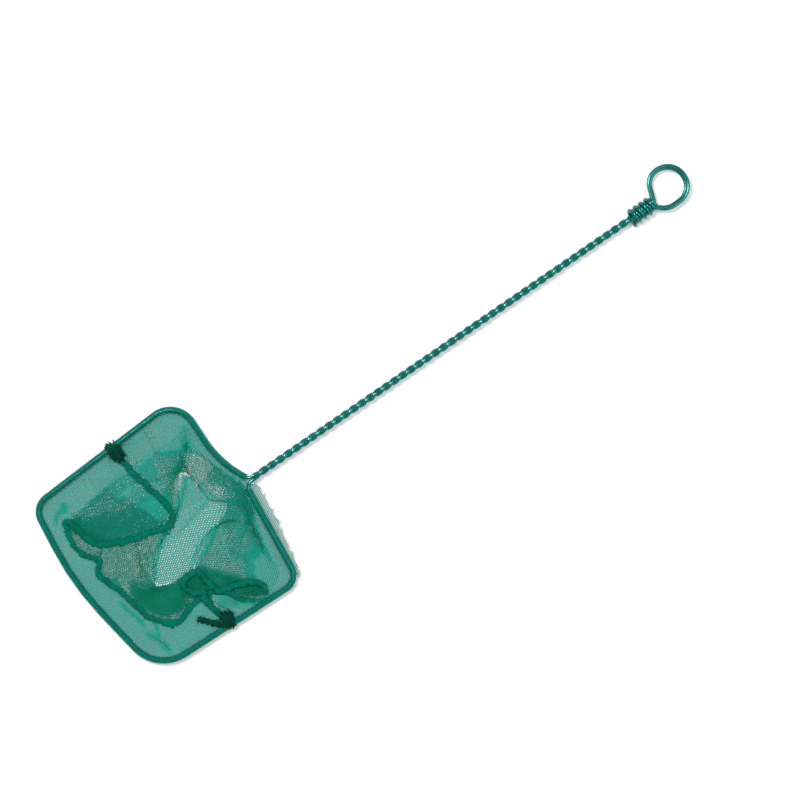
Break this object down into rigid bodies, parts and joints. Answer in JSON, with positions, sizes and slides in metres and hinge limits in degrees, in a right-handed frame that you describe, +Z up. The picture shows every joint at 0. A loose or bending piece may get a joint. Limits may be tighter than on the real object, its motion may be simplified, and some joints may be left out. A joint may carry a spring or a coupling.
{
  "type": "aquarium fish net",
  "caption": "Aquarium hand net: rounded square mouth hoop, collapsed two-panel mesh bag, twisted coated-wire handle and hanging ring.",
  "frame": {"origin": "middle of the footprint, on the surface that the net rests on", "axes": "+X along the handle, from the mouth hoop to the hanging ring; +Z up, out of the open mouth"},
  "size_m": [0.4113, 0.1272, 0.0104],
  "materials": {
    "wire_coating": "glossy dark sea-green PVC coating",
    "steel_core": "bare cut steel",
    "netting": "fine green knitted nylon mesh",
    "hem_netting": "the same mesh, doubled round the wire",
    "sewing_thread": "matt green polyester thread over rolled mesh",
    "tack_thread": "dense dark green thread"
  },
  "bodies": {
    "root": {"hoop_core": "steel_core", "hoop_coating": "wire_coating", "handle_strand_upper": "wire_coating", "handle_strand_lower": "wire_coating", "ring_strand_outer": "wire_coating", "ring_strand_inner": "wire_coating", "winding_strand_outer": "wire_coating", "winding_strand_inner": "wire_coating", "cut_end_cores": "steel_core", "net_far_panel": "netting", "net_near_panel": "netting", "hem_sleeve_far": "hem_netting", "hem_sleeve_near_upper": "hem_netting", "hem_sleeve_near_lower": "hem_netting", "hem_thread_far": "sewing_thread", "hem_thread_near_upper": "sewing_thread", "hem_thread_near_lower": "sewing_thread", "raw_hem_edge": "netting", "bag_seam": "sewing_thread", "side_tack_upper": "tack_thread", "side_tack_lower": "tack_thread", "seam_tail": "tack_thread"}
  },
  "joints": []
}
